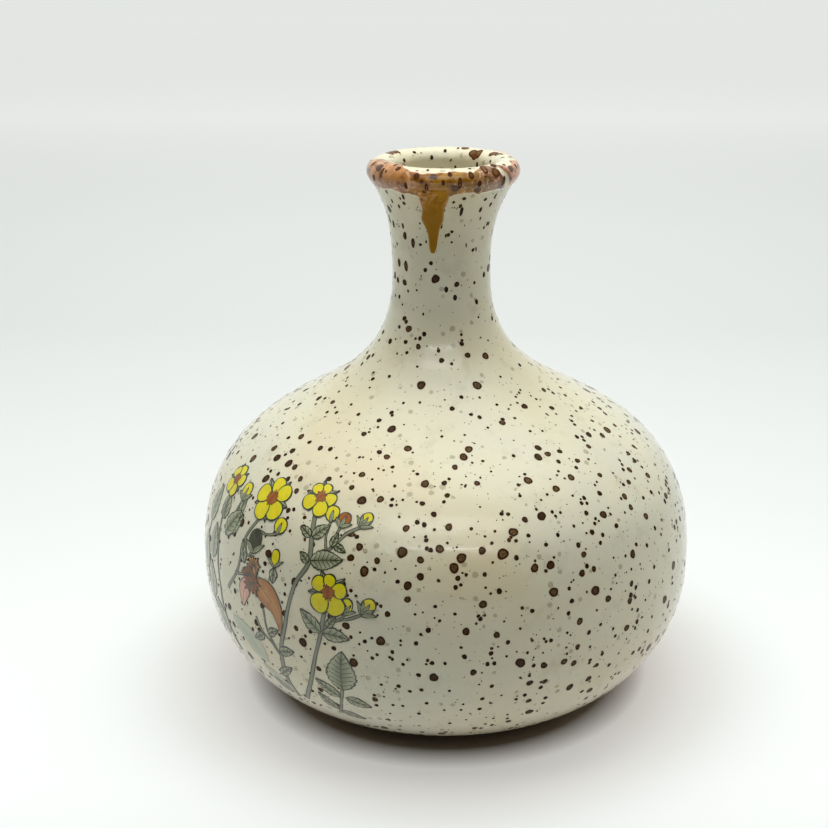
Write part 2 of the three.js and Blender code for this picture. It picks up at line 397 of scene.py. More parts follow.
def iron_spots():
    """Iron that bled through the glaze. Depth 0 is clear glaze, 0.52 nearly black and 1 olive."""
    nodes = material_nodes("iron_spots")
    depth = nodes.attribute("depth")
    iron = nodes.ramp(
        depth,
        (0.0, srgb(176, 126, 88)),
        (0.3, srgb(108, 64, 36)),
        (0.52, srgb(40, 20, 9)),
        (0.72, srgb(66, 43, 22)),
        (1.0, srgb(110, 84, 52)),
    )
    grain = nodes.ramp(nodes.noise(2600, 3, 0.7), (0.40, 0.0), (0.60, 0.75))
    mottled = nodes.mix(grain, iron, srgb(34, 22, 10))
    cover = nodes.ramp(depth, (0.02, 0.0), (0.32, 1.0))
    return nodes.surface(nodes.mix(cover, cream_colour(nodes), mottled), 0.2, **DEEP_SHINE)


def honey_blots():
    """Iron in the honey glaze: rusty at its edge, maroon, then olive where a blot is deep."""
    nodes = material_nodes("honey_blots")
    iron = nodes.ramp(
        nodes.attribute("depth"),
        (0.0, srgb(150, 96, 52)),
        (0.3, srgb(96, 50, 26)),
        (0.52, srgb(62, 28, 14)),
        (1.0, srgb(112, 86, 44)),
    )
    grain = nodes.ramp(nodes.noise(1300, 3, 0.7), (0.42, 0.0), (0.62, 0.8))
    return nodes.surface(nodes.mix(grain, iron, srgb(84, 48, 24)), 0.2, **DEEP_SHINE)


# Honey glaze colours around the lip: (azimuth in degrees, colour). They drift by a share of a turn.
HONEY_DRIFT = 0.03
HONEY_ZONES = (
    (-180, srgb(206, 172, 138)),
    (-95, srgb(196, 148, 108)),
    (-50, srgb(182, 128, 80)),
    (-28, srgb(172, 112, 44)),
    (0, srgb(166, 118, 26)),
    (20, srgb(150, 108, 34)),
    (28, srgb(128, 98, 56)),
    (42, srgb(150, 112, 84)),
    (62, srgb(200, 146, 116)),
    (90, srgb(206, 150, 122)),
    (180, srgb(206, 172, 138)),
)


def honey_glaze(name, **shine):
    """Amber to tan glaze that breaks to cream where it is thin, with maroon and olive blotches."""
    nodes = material_nodes(name)
    axes = nodes.node("ShaderNodeSeparateXYZ", Vector=nodes.place)
    turn = nodes.math("ARCTAN2", axes.outputs["X"], nodes.times(axes.outputs["Y"], -1))
    share = nodes.math("ADD", nodes.math("DIVIDE", turn, TAU), 0.5)
    uneven = nodes.math("ADD", share, nodes.times(nodes.noise(240, 3), 2 * HONEY_DRIFT))
    middle = 0.5 + HONEY_DRIFT
    zones = nodes.ramp(uneven, *((azimuth / 360 + middle, colour) for azimuth, colour in HONEY_ZONES))
    depth = nodes.ramp(nodes.noise(230, 5, 0.65, 0.8), (0.44, 0.0), (0.60, 0.75))
    deep = nodes.mix(depth, zones, srgb(104, 60, 20))
    veil = nodes.ramp(nodes.noise(330, 4, 0.6, 1.5), (0.52, 0.0), (0.64, 0.7))
    veiled = nodes.mix(veil, deep, srgb(212, 166, 128))
    inside = nodes.blots(nodes.cells(400), 0.32, 0.8, nodes.times(nodes.noise(1500, 2), 0.25))
    speck = nodes.ramp(inside, (0.36, 0.0), (0.46, 0.92))
    blotched = nodes.mix(speck, veiled, srgb(66, 30, 18))
    broken = nodes.math("ADD", nodes.attribute("thin"), nodes.times(nodes.noise(420, 4, 0.6), 0.6))
    blush = nodes.mix(nodes.ramp(broken, (0.5, 0.0), (0.8, 0.85)), blotched, srgb(206, 158, 126))
    colour = nodes.mix(nodes.ramp(broken, (0.84, 0.0), (1.05, 1.0)), blush, CREAM)
    pooled = nodes.mix(nodes.times(nodes.attribute("pooled"), 0.95), colour, srgb(146, 102, 8))
    nodes.bump(nodes.noise(160, 2), 0.3, 0.0004)
    return nodes.surface(pooled, 0.12, **shine)


def bare_clay():
    nodes = material_nodes("bare_clay")
    uneven = nodes.noise(90, 5, 0.6)
    body = nodes.ramp(uneven, (0.35, srgb(150, 122, 92)), (0.65, srgb(184, 156, 122)))
    near, chance = nodes.cells(900)
    reach = nodes.times(nodes.math("GREATER_THAN", chance, 0.7), 0.3)
    grog = nodes.math("LESS_THAN", near, reach)
    nodes.bump(nodes.noise(1400, 4, 0.7), 0.5, 0.0002)
    return nodes.surface(nodes.mix(grog, body, srgb(86, 60, 40)), 0.85)


def print_ink(name, middle, edge, mottle):
    """A transfer colour that runs from the middle of a shape to its edge, slightly uneven."""
    nodes = material_nodes(name)
    tone = nodes.ramp(nodes.attribute("tone"), (0.1, srgb(*middle)), (0.7, srgb(*edge)))
    patchy = nodes.ramp(nodes.noise(420, 3, 0.6), (0.45, 0.0), (0.75, 0.55))
    return nodes.surface(nodes.mix(patchy, tone, srgb(*mottle)), 0.22, **COAT)


CREAM_GLAZE = cream_glaze()
IRON = iron_spots()
HONEY = honey_glaze("honey_glaze", **COAT)
HONEY_RUN = honey_glaze("honey_run_glaze", **DEEP_SHINE)
BLOTS = honey_blots()
CLAY = bare_clay()

# Each ink of the transfer: its colours in the middle of a shape, at its edge and in its patches.
INKS = {
    "yellow_print": ((214, 196, 6), (206, 198, 8), (178, 164, 10)),
    "heart_print": ((132, 68, 12), (154, 86, 14), (96, 44, 12)),
    "orange_print": ((180, 132, 70), (162, 102, 40), (132, 78, 30)),
    "blush_print": ((212, 170, 148), (200, 150, 130), (196, 140, 120)),
    "green_print": ((112, 118, 88), (160, 164, 134), (100, 110, 78)),
    "wash_print": ((166, 172, 148), (180, 182, 158), (150, 158, 132)),
    "stem_print": ((128, 130, 110), (116, 118, 98), (90, 92, 76)),
    "ink_print": ((48, 48, 32), (56, 56, 40), (88, 88, 68)),
}
TRANSFER_MATERIALS = [print_ink(name, *colours) for name, colours in INKS.items()]
YELLOW_INK, HEART_INK, ORANGE_INK, BLUSH_INK, GREEN_INK, WASH_INK, STEM_INK, LINE_INK = range(len(INKS))

# ------------------------------------------------------------------------------------------------
# Mesh builders.

SHARP_EDGE = math.radians(50)
TINY = 1e-7


def make_piece(name, points, faces, materials, values=None, face_materials=None, normals=None):
    """Values are numbers kept for each point, under names that the materials read."""
    mesh = bpy.data.meshes.new(name)
    mesh.from_pydata(np.asarray(points).tolist(), [], faces)
    for key, numbers in (values or {}).items():
        layer = mesh.attributes.new(key, "FLOAT", "POINT")
        layer.data.foreach_set("value", np.asarray(numbers, dtype=np.float32))
    for material in materials:
        mesh.materials.append(material)
    if face_materials is not None:
        mesh.polygons.foreach_set("material_index", face_materials)
    mesh.shade_smooth()
    if normals is None:
        mesh.set_sharp_from_angle(angle=SHARP_EDGE)
    else:
        mesh.normals_split_custom_set_from_vertices(np.asarray(normals).tolist())
    mesh.update()
    piece = bpy.data.objects.new(name, mesh)
    bpy.context.scene.collection.objects.link(piece)
    return piece


def keep(piece, slot, *nodes):
    """Makes a finished piece part of the vase, in place of its CAD nodes."""
    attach(piece, ROOT)
    if nodes:
        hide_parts(*nodes)


def sideways(spine):
    """The direction to the right of a spine, at each of its points."""
    tangents = np.gradient(spine, axis=0)
    tangents /= np.linalg.norm(tangents, axis=1)[:, None]
    return np.stack([tangents[:, 1], -tangents[:, 0]], axis=1)


def hoop_faces(turns, count):
    """The faces of a ring, between closed sections of this many points set around the axis."""
    faces = []
    for turn in range(turns):
        here, there = turn * count, (turn + 1) % turns * count
        for row in range(count):
            above = (row + 1) % count
            faces.append((here + row, there + row, there + above, here + above))
    return faces


def rod_faces(sections, count):
    """The faces of a rod with closed ends, between sections of this many points along it."""
    faces = [tuple(range(count))[::-1], tuple(range((sections - 1) * count, sections * count))]
    for section in range(sections - 1):
        for corner in range(count):
            here, there = section * count + corner, section * count + (corner + 1) % count
            faces.append((here, there, there + count, here + count))
    return faces


def merge_on_axis(mesh):
    work = bmesh.new()
    work.from_mesh(mesh)
    bmesh.ops.remove_doubles(work, verts=work.verts, dist=TINY)
    bmesh.ops.dissolve_degenerate(work, edges=work.edges, dist=TINY)
    work.to_mesh(mesh)
    work.free()


def spin(name, profile, material, segments):
    """Turns a closed profile, listed anticlockwise, about the axis."""
    profile = np.asarray(profile)
    azimuths = np.arange(segments) * TAU / segments
    points = bend(profile[None, :, 0], profile[None, :, 1], azimuths[:, None]).reshape(-1, 3)
    piece = make_piece(name, points, hoop_faces(segments, len(profile)), [material])
    if np.any(profile[:, 0] < TINY):
        merge_on_axis(piece.data)
    return piece


# ------------------------------------------------------------------------------------------------
# Clay: the sections of the thrown wall, under the glaze.

CLAY_SEGMENTS = 128
CLAY_SPACING = 1.5 * MM
FOOT_CORNER_POINTS = 7
CLAY_FLOOR_POINTS = 12

# Each section of wall runs between two stations.
SECTIONS = {
    "lower_bowl": (0, 0.5),
    "belly_lower_wall": (0.5, 1),
    "belly_upper_wall": (1, 1.25),
    "shoulder": (1.25, 1.5),
    "neck_root": (1.5, 2),
    "neck_tube": (2, 3),
    "lip_roll": (3, 4),
}


def foot_profile():
    """The foot ring's section, with its lower corners worn round."""
    inner = FOOT_RADIUS - FOOT_WIDTH
    corners = ((inner + FOOT_ROUNDING, 0.5 * TAU), (FOOT_RADIUS - FOOT_ROUNDING, 0.75 * TAU))
    points = []
    for centre, start in corners:
        for angle in np.linspace(start, start + 0.25 * TAU, FOOT_CORNER_POINTS):
            across, up = FOOT_ROUNDING * math.cos(angle), FOOT_ROUNDING * (1 + math.sin(angle))
            points.append((centre + across, up))
    return points + [(FOOT_RADIUS, FOOT_HEIGHT), (inner, FOOT_HEIGHT)]


def build_clay():
    keep(spin("clay_foot_ring", foot_profile(), CLAY, CLAY_SEGMENTS), "clay", "foot_ring")
    edge, top = SKIN.at(SKIN.distances[-1], -GLAZE)
    radii = np.linspace(0, edge, CLAY_FLOOR_POINTS)
    disc = [(radius, FOOT_HEIGHT) for radius in radii] + [(radius, top) for radius in radii[::-1]]
    keep(spin("clay_floor", disc, CLAY, CLAY_SEGMENTS), "clay", "floor_disc")
    for node, (start, end) in SECTIONS.items():
        outer = SKIN.stretch(start, end, CLAY_SPACING, -GLAZE)
        inner = SKIN.stretch(SKIN.last_station - end, SKIN.last_station - start, CLAY_SPACING, -GLAZE)
        profile = np.concatenate([outer, inner])
        if start == 0:
            profile = np.concatenate([[(edge, FOOT_HEIGHT)], profile])
        keep(spin(f"clay_{node}", profile, CLAY, CLAY_SEGMENTS), "clay", node)


# ------------------------------------------------------------------------------------------------
# The cream coats, which meet on the crest of the lip.

OUTSIDE_SEGMENTS = 320
OUTSIDE_SPACING = 0.7 * MM
INSIDE_SEGMENTS = 192
INSIDE_SPACING = 1.2 * MM
LIP_SPACING = 0.25 * MM
HIDDEN_SPACING = 4 * MM
LINER_FLOOR_POINTS = 16


def build_cream_coats():
    crest, last = SKIN.crest_station, SKIN.last_station
    wall = SKIN.stretch(0, crest - 1, OUTSIDE_SPACING)
    lip = SKIN.stretch(crest - 1, crest, LIP_SPACING)
    shown = np.concatenate([wall, lip[1:]])
    hidden = SKIN.stretch(crest, 0, HIDDEN_SPACING, -GLAZE)
    profile = np.concatenate([shown, hidden])
    keep(spin("glaze_outside", profile, CREAM_GLAZE, OUTSIDE_SEGMENTS), "cream_glaze", "outer_glaze")

    lip = SKIN.stretch(crest, crest + 1, LIP_SPACING)
    shown = np.concatenate([lip, SKIN.stretch(crest + 1, last, INSIDE_SPACING)[1:]])
    hidden = SKIN.stretch(last, crest, HIDDEN_SPACING, -GLAZE)
    radii = np.linspace(shown[-1, 0], 0, LINER_FLOOR_POINTS)[1:]
    floor = [(radius, FLOOR_TOP) for radius in radii]
    under = [(radius, FLOOR_TOP - GLAZE) for radius in radii[::-1]]
    profile = np.concatenate([shown, floor, under, hidden])
    keep(spin("glaze_liner", profile, CREAM_GLAZE, INSIDE_SEGMENTS), "cream_glaze", "liner_glaze")


# ------------------------------------------------------------------------------------------------
# The honey glaze on the lip.

RIM_SEGMENTS = 360
RIM_ROWS = 36
RIM_THICKNESS = 0.22 * MM
RIM_EDGE = 0.7 * MM
RIM_LOWEST = 124.6 * MM
RIM_BEFORE_CREST = 2.0 * MM
LIP_BOTTOM = 121 * MM

# How far the honey glaze's edges wander, and in how many waves around the lip.
RIM_LOW_WANDER = 0.32 * MM
RIM_LOW_WAVES = (5, 9, 14, 23, 31, 47)
RIM_HIGH_WANDER = 0.4 * MM
RIM_HIGH_WAVES = (2, 5, 8, 13, 21, 38)

# How far the honey glaze lies over the cream at its edges, and sinks into it underneath.
HONEY_LIFT = 0.02 * MM
HONEY_SINK = -0.1 * MM


def wander(azimuth, turns, seed):
    """A smooth uneven line about the axis, within about -1 to 1."""
    chance = random.Random(seed)
    waves = [np.sin(turn * azimuth + chance.uniform(0, TAU)) * chance.uniform(0.5, 1) for turn in turns]
    return sum(waves) / math.sqrt(len(turns))


def bump_at(azimuth, centre, half_width):
    """1 at an azimuth in degrees, falling to 0 this many degrees away."""
    apart = np.degrees(np.angle(np.exp(1j * (azimuth - math.radians(centre)))))
    return smooth(half_width, 0, np.abs(apart))


# Where the honey glaze crept lower: (azimuth in degrees, drop in mm, half width in degrees).
FINGERS = [(-8, 1.5, 26), (-66, 0.8, 18), (-34, 0.5, 8), (33, 0.5, 10), (150, 1.4, 18)]

# Where the honey glaze climbed higher or over the crest, in the same way.
CLIMBS = [(-58, 4.8, 38), (42, 3.0, 20), (76, 1.4, 12), (120, 2.2, 24)]

# The gap that shows cream, right through the honey glaze. It turns one radian in this distance up.
GAP_AZIMUTH = 60
GAP_HALF_WIDTH = 6
GAP_PITCH = 26 * MM


def rim_edges(azimuth):
    """The distances along the skin of the honey glaze's lower and upper edges."""
    low = SKIN.at_height(RIM_LOWEST) + RIM_LOW_WANDER * wander(azimuth, RIM_LOW_WAVES, 3)
    for centre, drop, half_width in FINGERS:
        low = low - drop * MM * bump_at(azimuth, centre, half_width)
    high = CREST - RIM_BEFORE_CREST + RIM_HIGH_WANDER * wander(azimuth, RIM_HIGH_WAVES, 8)
    for centre, climb, half_width in CLIMBS:
        high = high + climb * MM * bump_at(azimuth, centre, half_width)
    return low, high


def pour(name, azimuth, along, thickness, thin, pooled, faces, material, node):
    """Honey glaze over rows of places on the skin, closed by two points under the ends of each row."""
    top = on_skin(azimuth, along, HONEY_LIFT + thickness)
    under = on_skin(azimuth[:, [-1, 0]], along[:, [-1, 0]], HONEY_SINK)
    points = np.concatenate([top, under], axis=1).reshape(-1, 3)
    thin = np.concatenate([thin, np.ones((len(thin), 2))], axis=1)
    values = {"thin": thin.ravel(), "pooled": ((1 - thin) * pooled).ravel()}
    keep(make_piece(name, points, faces, [material], values), "honey_glaze", node)


def build_rim():
    azimuths = np.arange(RIM_SEGMENTS) * TAU / RIM_SEGMENTS
    low, high = rim_edges(azimuths)
    rows = np.linspace(0, 1, RIM_ROWS)
    along = low[:, None] + (high - low)[:, None] * rows
    azimuth = np.broadcast_to(azimuths[:, None], along.shape)
    from_edge = np.minimum(along - low[:, None], high[:, None] - along)
    slanted = azimuth + (along - low[:, None]) / GAP_PITCH
    gap = bump_at(slanted, GAP_AZIMUTH, GAP_HALF_WIDTH)
    thin = np.maximum(smooth(RIM_EDGE, 0, from_edge), gap)
    faces = hoop_faces(RIM_SEGMENTS, RIM_ROWS + 2)
    pour("honey_rim", azimuth, along, RIM_THICKNESS * (1 - thin), thin, 0, faces, HONEY, "rim_glaze")


# ------------------------------------------------------------------------------------------------
# The run down the neck, in the same glaze.

# The places it passes, from its tip up, as (azimuth in degrees, height in mm), and its half widths
# there in mm.
RUN_COURSE = [(-9.4, 110.2), (-9.0, 112.5), (-8.8, 115), (-9.6, 118), (-8.2, 121.5), (-7.0, 126)]
RUN_HALF_WIDTHS = [0.6, 0.95, 1.3, 2.3, 2.9, 4.3]
RUN_THICKNESS = 0.32 * MM
RUN_COLUMNS = 15
RUN_ROWS = 64

# The run swells up over this share of its length, and thins from this share of its half width out.
# Its pooled colour fades over the last part of its length in the same way.
RUN_TIP = 0.12
RUN_EDGE = 0.72
RUN_EDGE_THIN = 0.62


def smooth_line(values, count):
    """A smooth curve through evenly paced values, by Catmull and Rom's rule."""
    values = np.asarray(values, dtype=float)
    padded = np.concatenate([[2 * values[0] - values[1]], values, [2 * values[-1] - values[-2]]])
    pace = np.linspace(0, len(values) - 1, count)
    step = np.minimum(pace.astype(int), len(values) - 2)
    t = (pace - step).reshape((-1,) + (1,) * (values.ndim - 1))
    a, b, c, d = (padded[step + shift] for shift in range(4))
    bent = (2 * a - 5 * b + 4 * c - d) * t**2 + (3 * b - a - 3 * c + d) * t**3
    return b + 0.5 * ((c - a) * t + bent)


def build_run():
    line = smooth_line(RUN_COURSE, RUN_ROWS)
    up = np.linspace(0, 1, RUN_ROWS)
    ragged = 1 + 0.06 * wander(up * TAU, (1.3, 2.4, 4.1), 5)
    rounded_tip = smooth(-0.12, 0.08, up) ** 0.7
    half_widths = smooth_line(RUN_HALF_WIDTHS, RUN_ROWS) * MM * rounded_tip * ragged
    along = SKIN.at_height(line[:, 1] * MM)
    radius, _ = SKIN.at(along)
    shares = np.linspace(-1, 1, RUN_COLUMNS)
    azimuth = np.radians(line[:, :1]) + shares * (half_widths / radius)[:, None]
    dome = np.sqrt(1 - shares**2 * 0.98) * smooth(0, RUN_TIP, up)[:, None] ** 0.5
    along = np.broadcast_to(along[:, None], azimuth.shape)
    thin = np.tile(RUN_EDGE_THIN * smooth(RUN_EDGE, 1, np.abs(shares)), (RUN_ROWS, 1))
    pooled = smooth(1, RUN_EDGE, up)[:, None]
    faces = rod_faces(RUN_ROWS, RUN_COLUMNS + 2)
    pour("honey_run", azimuth, along, RUN_THICKNESS * dome, thin, pooled, faces, HONEY_RUN, "glaze_run")


# ------------------------------------------------------------------------------------------------
# Iron spots: flakes of iron that bled through the cream glaze.

# How far the flakes lie over the glaze, how much further the paired ones and the blots inside the lip
# do, and how far the underside of every mark lies in it.
SPOT_LIFT = 0.02 * MM
PAIRED_LIFT = 0.008 * MM
INNER_BLOT_LIFT = 0.012 * MM
UNDER_MARK = -0.03 * MM

SPOTS = 3100
FRECKLES = 4200
FRECKLE_SIZES = (0.12 * MM, 0.34 * MM)
SMALLEST_SPOT = 0.3 * MM
MEDIAN_SPOT = 0.78 * MM
LARGEST_SPOT = 2.1 * MM
LARGEST_ON_LIP = 0.9 * MM
SPOT_SPREAD = 0.45
LARGEST_PAIRED = 1.6 * MM
PAIRED_SHARE = 0.1

# Spots crowd together around this height. They keep this share of their summed sizes apart, and the
# members of a pair, which overlap, this one.
CROWDED_HEIGHT = 50 * MM
CROWDED_SPREAD = 22 * MM
APART = 0.6
PAIR_APART = 0.42

# How a flake's edge wanders, in waves around it: (number of waves, share of its radius).
FLAKE_WAVES = ((2, 0.10), (3, 0.06), (5, 0.03))

# Flakes are drawn out up the wall between these heights and above, but not the large ones: they are
# drawn out less from the first of these sizes, and not at all from the second.
DRAWN_OUT_HEIGHTS = (84 * MM, 112 * MM)
ROUND_SIZES = (1.2 * MM, 2.6 * MM)

# A flake's middle is as dark as its ring up to this size, and fully olive from half a step more.
PALE_SIZE = 0.9 * MM
PALE_STEP = 1.1 * MM

# The groups of spots: (name, sizes above this, sizes up to this, corners of each flake).
SPOT_GROUPS = (
    ("iron_spots_large", 1.35 * MM, 3 * MM, 20),
    ("iron_spots_middle", 0.85 * MM, 1.35 * MM, 15),
    ("iron_spots_small", 0, 0.85 * MM, 11),
)

# The spots that stand out on the front: (azimuth in degrees, height in mm, diameter in mm).
BOLD_SPOTS = [
    (-9.8, 55.4, 2.3), (-5.6, 54.2, 1.5), (-1.4, 56.3, 1.8), (3.4, 54.6, 2.1), (8.1, 55.8, 1.6),
    (12.7, 54.9, 2.4), (19.5, 51.5, 1.8), (-13.5, 36.5, 2.1), (24.0, 60.5, 2.0), (33.5, 44.0, 2.2),
    (-2.5, 28.5, 2.0), (15.5, 31.0, 2.2), (41.0, 58.0, 1.8), (6.5, 70.5, 1.9), (-22.0, 74.0, 2.0),
]

# The blots on the lip: (azimuth in degrees, distance past the crest in mm, diameter in mm).
LIP_BLOTS = [
    (34, -1.8, 1.7), (43, -3.0, 2.1), (21, -3.0, 1.3), (47, -0.9, 1.3), (-38, -1.8, 1.2), (-20, -3.2, 1.3),
    (5, -2.6, 1.0), (12, -4.6, 1.2), (-52, -3.4, 1.2), (73, -3.0, 1.0), (-62, -5.0, 1.1), (-28, -5.4, 1.0),
    (-12, -5.6, 1.1), (27, -4.9, 1.1), (50, -5.2, 1.3), (-72, -2.2, 1.2), (0, -4.4, 0.8), (-45, -0.4, 1.0),
]
BLOT_LIFT = 0.23 * MM

# The blots inside the lip at the back, where the glaze is cream, in the same way.
INNER_BLOTS = [
    (158, 0.4, 1.8), (145, 2.3, 2.1), (138, 2.1, 2.0), (141, 3.2, 1.5), (118, 1.2, 2.0), (111, 0.8, 1.5),
    (-122, 0.5, 1.8), (-115, 0.5, 1.6), (-127, 0.7, 1.2),
]


def scatter(chance, sizes, taken):
    """Drops marks of these sizes evenly over the skin, down to inside the neck, clear of the marks
    already there. Returns their azimuths, distances along and sizes."""
    reach = np.linspace(0, SKIN.at_station(SKIN.last_station - 2), 4000)
    radius, height = SKIN.at(reach)
    crowd = radius * (0.82 + 0.4 * np.exp(-(((height - CROWDED_HEIGHT) / CROWDED_SPREAD) ** 2)))
    share = np.cumsum(crowd) / np.sum(crowd)
    centres, marks = taken
    placed = []
    for size in sizes:
        azimuth = chance.uniform(-math.pi, math.pi)
        along = float(np.interp(chance.random(), share, reach))
        if SKIN.at(along)[1] > LIP_BOTTOM:
            size = min(size, LARGEST_ON_LIP)
        centre = on_skin(azimuth, along)
        clear = APART * (np.array(marks) + size)
        if marks and np.any(np.linalg.norm(np.array(centres) - centre, axis=1) < clear):
            continue
        centres.append(centre)
        marks.append(size)
        placed.append((azimuth, along, size))
    return placed


def paired(chance, spots):
    """Gives some spots a smaller one that runs into them."""
    for azimuth, along, size in spots:
        if chance.random() < PAIRED_SHARE and size < LARGEST_PAIRED:
            beside = size * chance.uniform(0.45, 0.9)
            apart = PAIR_APART * (size + beside)
            turn = chance.uniform(0, TAU)
            azimuth += apart * math.sin(turn) / SKIN.at(along)[0]
            yield float(azimuth), along + apart * math.cos(turn), beside


def flake_outlines(chance, count, angles):
    """How far each flake reaches at each angle, as a share of its radius."""
    uneven = np.ones((count, len(angles)))
    for waves, amount in FLAKE_WAVES:
        phase = chance.uniform(0, TAU, (count, 1))
        uneven += amount * chance.uniform(0.3, 1, (count, 1)) * np.sin(waves * angles + phase)
    return uneven


def flake_faces(rings, corners, per_mark, count):
    """The faces of many flakes: each a point inside rings, over one point that closes it underneath."""
    pattern = []
    for corner in range(corners):
        beside = (corner + 1) % corners
        pattern.append((0, 1 + beside, 1 + corner))
        for ring in range(rings - 1):
            inner, outer = 1 + ring * corners, 1 + (ring + 1) * corners
            pattern.append((inner + corner, inner + beside, outer + beside, outer + corner))
        pattern.append((outer + corner, outer + beside, per_mark - 1))
    starts = range(0, count * per_mark, per_mark)
    return [tuple(start + corner for corner in face) for start in starts for face in pattern]


def build_flakes(name, marks, corners, seed, raise_by=0.0, material=IRON):
    """Irregular flakes, each with a dark ring inside a faded edge. Big ones have a paler middle."""
    chance = np.random.default_rng(seed)
    marks = np.array(marks)
    count = len(marks)
    azimuth, along, size = marks.T
    angles = np.arange(corners) * TAU / corners
    uneven = flake_outlines(chance, count, angles)
    _, height = SKIN.at(along)
    drawn_out = 1 + smooth(*DRAWN_OUT_HEIGHTS, height) * chance.uniform(0, 1, count) ** 2
    drawn_out -= (drawn_out - 1) * smooth(*ROUND_SIZES, size)
    middle = np.clip(0.5 + (size - PALE_SIZE) / PALE_STEP, 0.5, 1) * chance.uniform(0.75, 1.05, count)
    rings = (
        (0.0, 1, middle),
        (0.6, corners, middle * 0.95),
        (0.78, corners, 0.56),
        (0.92, corners, 0.5),
        (1.12, corners, 0.0),
    )
    sheets, depths = [], []
    for reach, number, depth in rings:
        ring = uneven[:, :number] * (reach * size / 2)[:, None]
        x = ring * np.sin(angles[:number]) / np.sqrt(drawn_out)[:, None]
        y = ring * np.cos(angles[:number]) * drawn_out[:, None]
        sheets.append(np.stack([x, y], axis=-1))
        depths.append(np.broadcast_to(np.asarray(depth).reshape(-1, 1), (count, number)))
    sheets.append(np.zeros((count, 1, 2)))
    depths.append(np.zeros((count, 1)))
    sheet = np.concatenate(sheets, axis=1)
    per_mark = sheet.shape[1]
    lift = np.full(per_mark, SPOT_LIFT + raise_by)
    lift[-1] = UNDER_MARK
    far_along = along[:, None] + sheet[:, :, 1]
    radius, _ = SKIN.at(far_along)
    far_azimuth = azimuth[:, None] + sheet[:, :, 0] / radius
    points = on_skin(far_azimuth, far_along, np.broadcast_to(lift, far_along.shape))
    normals = skin_normal(far_azimuth, far_along).reshape(-1, 3)
    faces = flake_faces(len(rings) - 1, corners, per_mark, count)
    values = {"depth": np.concatenate(depths, axis=1).ravel()}
    piece = make_piece(name, points.reshape(-1, 3), faces, [material], values, normals=normals)
    keep(piece, "cream_glaze")


def build_spots():
    chance = random.Random(41)
    taken = ([], [])
    bold = []
    for azimuth, height, size in BOLD_SPOTS:
        place = (math.radians(azimuth), float(SKIN.at_height(height * MM)), size * MM)
        taken[0].append(on_skin(*place[:2]))
        taken[1].append(place[2])
        bold.append(place)
    sizes = [chance.lognormvariate(math.log(MEDIAN_SPOT), SPOT_SPREAD) for _ in range(SPOTS)]
    sizes = [min(max(size, SMALLEST_SPOT), LARGEST_SPOT) for size in sorted(sizes, reverse=True)]
    spots = scatter(chance, sizes, taken)
    freckles = scatter(chance, [chance.uniform(*FRECKLE_SIZES) for _ in range(FRECKLES)], taken)
    on_honey, on_cream = (
        [(math.radians(azimuth), CREST + past * MM, size * MM) for azimuth, past, size in blots]
        for blots in (LIP_BLOTS, INNER_BLOTS)
    )
    for seed, (name, low, high, corners) in enumerate(SPOT_GROUPS, 11):
        build_flakes(name, [spot for spot in bold + spots if low < spot[2] <= high], corners, seed)
    pairs = list(paired(chance, spots))
    build_flakes("iron_spots_paired", pairs, corners=11, seed=4, raise_by=PAIRED_LIFT)
    build_flakes("iron_freckles", freckles, corners=6, seed=3)
    build_flakes("iron_lip_blots", on_honey, 18, 5, BLOT_LIFT, BLOTS)
    build_flakes("iron_inner_blots", on_cream, 18, 6, INNER_BLOT_LIFT, BLOTS)


# ------------------------------------------------------------------------------------------------
# The flower transfer. Places are (azimuth in degrees, height in mm); turns are in degrees from up the
# wall, to the right; other sizes are in mm.

# Each kind of drawing: its slot, how many CAD nodes its first drawings stand for, and how far it lies over
# the glaze. The kinds lie over each other in this order.
KINDS = {
    "stem": ("green_print", 3, 0.045 * MM),
    "wash": ("green_print", 0, 0.050 * MM),
    "leaf": ("green_print", 3, 0.062 * MM),
    "petal": ("orange_print", 0, 0.090 * MM),
    "tuft": ("orange_print", 0, 0.105 * MM),
    "flower": ("yellow_print", 4, 0.115 * MM),
    "bud": ("orange_print", 5, 0.130 * MM),
}
NEIGHBOUR_STEP = 0.012 * MM
LAYER_STEP = 0.008 * MM
LINE_STEP = 0.004 * MM
LINE_WIDTH = 0.28
MIDRIB = 0.24
FINE_LINE = 0.17


def turned(points, turn, base=(0, 0)):
    angle = math.radians(turn)
    x, y = points[..., 0], points[..., 1]
    right = x * math.cos(angle) + y * math.sin(angle)
    up = y * math.cos(angle) - x * math.sin(angle)
    return np.stack([right + base[0], up + base[1]], axis=-1)


def egg(length, width, blunt=0.0, count=24):
    """The spine and half widths of a rounded shape. A blunt one is wider at its far end."""
    share = (1 - np.cos(np.linspace(0, math.pi, count))) / 2
    spine = np.stack([0 * share, length * share], axis=1)
    widths = width / 2 * np.sqrt(np.clip(1 - (2 * share - 1) ** 2, 0, 1)) * (1 + blunt * (share - 0.5))
    return spine, widths + 0.01


def blade(length, width, curl, teeth, count=60):
    """The spine and half widths of a pointed leaf with a toothed edge."""
    share = np.linspace(0, 1, count)
    spine = np.stack([curl * length * share**2, length * share], axis=1)
    swell = np.sin(math.pi * share**0.75) ** 0.85
    tooth = 1 + 0.2 * ((share * teeth) % 1 - 0.5) * (1 - 0.6 * share)
    return spine, width / 2 * swell * tooth + 0.02


def edge_of(spine, widths):
    """The line around a shape, up its right side and down its left."""
    across = sideways(spine) * widths[:, None]
    return np.concatenate([spine + across, (spine - across)[::-1], (spine + across)[:2]])


def straight(start, end, count=8):
    share = np.linspace(0, 1, count)[:, None]
    return np.asarray(start) + (np.asarray(end) - np.asarray(start)) * share


